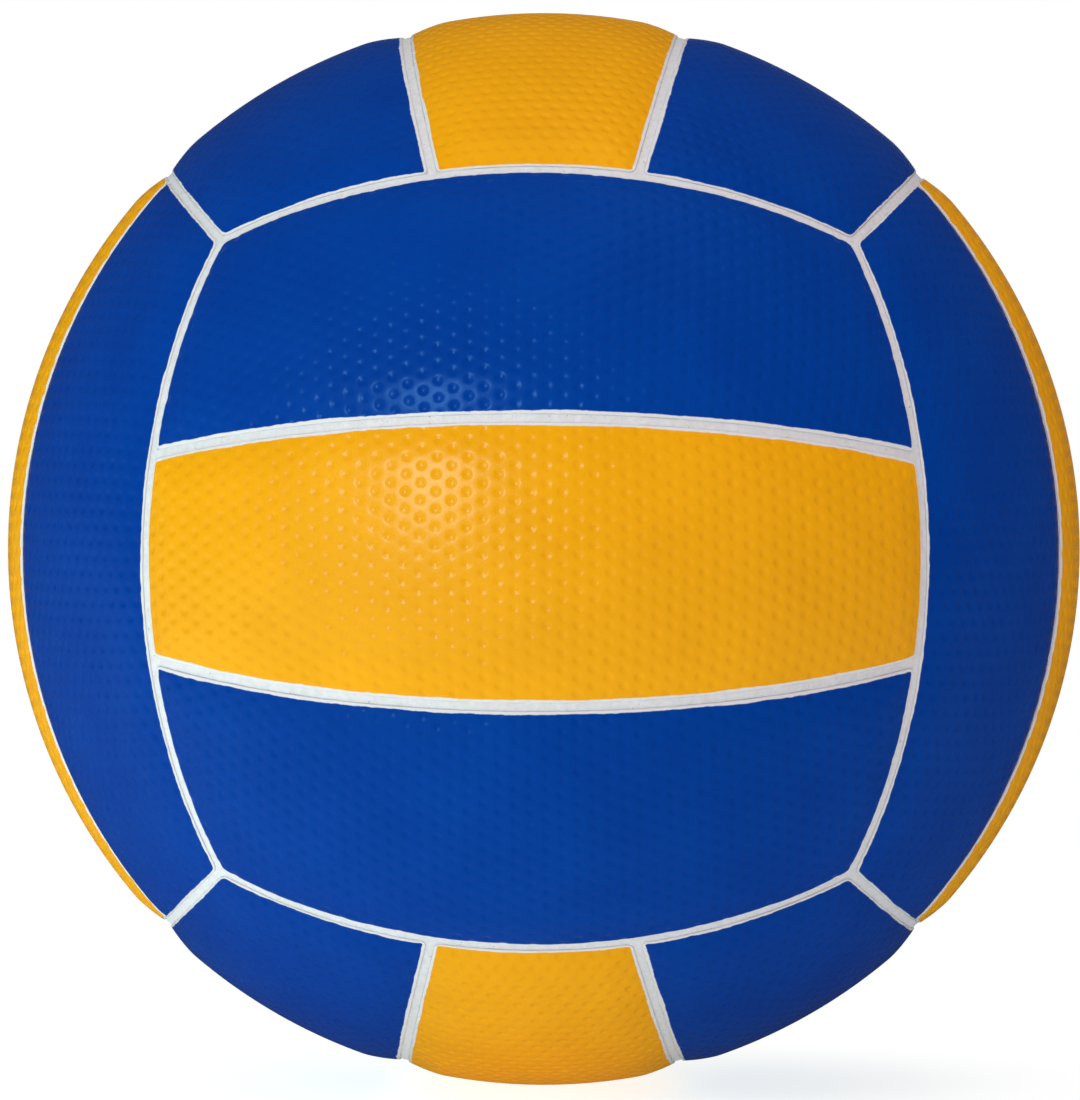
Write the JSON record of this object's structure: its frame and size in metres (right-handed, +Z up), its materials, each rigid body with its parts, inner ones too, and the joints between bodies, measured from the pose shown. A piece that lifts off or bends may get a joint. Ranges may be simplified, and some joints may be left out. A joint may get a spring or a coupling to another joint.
{
  "type": "netball",
  "caption": "Inflated round ball with a cover of dimpled rubber strip panels, sunken white seams and a pull-out needle valve, for hand passing and shooting.",
  "frame": {"origin": "centre of the ball", "axes": "+Z up, +Y from the centre out through the valve, and the pictured face on -Y"},
  "size_m": [0.2228, 0.2227, 0.2228],
  "materials": {
    "blue_rubber": "satin, dimpled",
    "yellow_rubber": "satin, dimpled",
    "white_rubber": "matt",
    "bladder_rubber": "matt",
    "winding_thread": "wound thread",
    "valve_rubber": "matt",
    "plug_rubber": "satin"
  },
  "bodies": {
    "ball": {"front_lower_panel": "blue_rubber", "front_middle_panel": "yellow_rubber", "front_upper_panel": "blue_rubber", "back_lower_panel": "blue_rubber", "back_middle_panel": "yellow_rubber", "back_upper_panel": "blue_rubber", "top_left_panel": "blue_rubber", "top_middle_panel": "yellow_rubber", "top_right_panel": "blue_rubber", "bottom_left_panel": "blue_rubber", "bottom_middle_panel": "yellow_rubber", "bottom_right_panel": "blue_rubber", "left_front_panel": "blue_rubber", "left_middle_panel": "yellow_rubber", "left_back_panel": "blue_rubber", "right_front_panel": "blue_rubber", "right_middle_panel": "yellow_rubber", "right_back_panel": "blue_rubber", "carcass": "white_rubber", "winding": "winding_thread", "bladder": "bladder_rubber", "valve_boot": "valve_rubber"},
    "plug": {"valve_plug": "plug_rubber"}
  },
  "joints": [
    {"name": "valve_plug_pull", "type": "slide", "parent": "ball", "child": "plug", "axis": [0, 1, 0], "range_m": [0, 0.016]}
  ]
}
